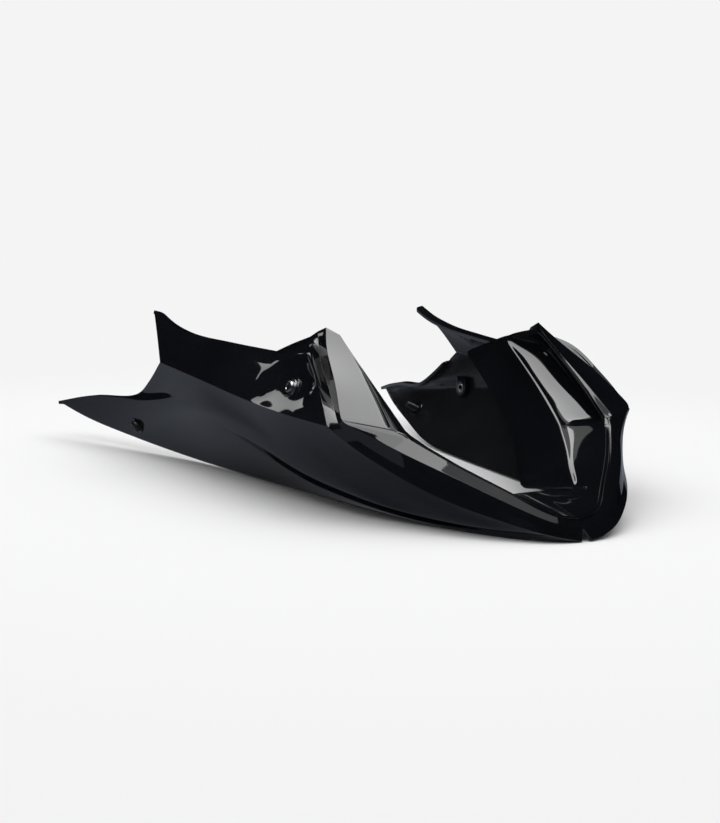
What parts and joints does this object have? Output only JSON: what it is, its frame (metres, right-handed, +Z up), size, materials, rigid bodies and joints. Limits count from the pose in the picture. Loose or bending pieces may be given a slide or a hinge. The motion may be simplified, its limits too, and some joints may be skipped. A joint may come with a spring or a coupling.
{
  "type": "motorcycle belly pan",
  "caption": "Two-sided moulded pan that closes the underside of a motorcycle's engine, with an open air scoop at the front.",
  "frame": {"origin": "middle of the overall box in X and Y, on the floor that the pan stands on", "axes": "+X towards the chin, which is the front of the motorcycle, +Y to the rider's left, +Z up"},
  "size_m": [0.6002, 0.374, 0.1391],
  "materials": {
    "gloss_black": "gloss black ABS moulding",
    "steel": "stainless steel",
    "bush_rubber": "black rubber",
    "black_screw": "black coated steel",
    "insert_brass": "nickel plated brass"
  },
  "bodies": {
    "root": {"pan_shell": "gloss_black", "front_screw_l": "steel", "front_screw_r": "steel", "front_washer_l": "steel", "front_washer_r": "steel", "front_bush_l": "bush_rubber", "front_bush_r": "bush_rubber", "rear_screw_l": "black_screw", "rear_screw_r": "black_screw", "boss_insert_l": "insert_brass", "boss_insert_r": "insert_brass"}
  },
  "joints": []
}
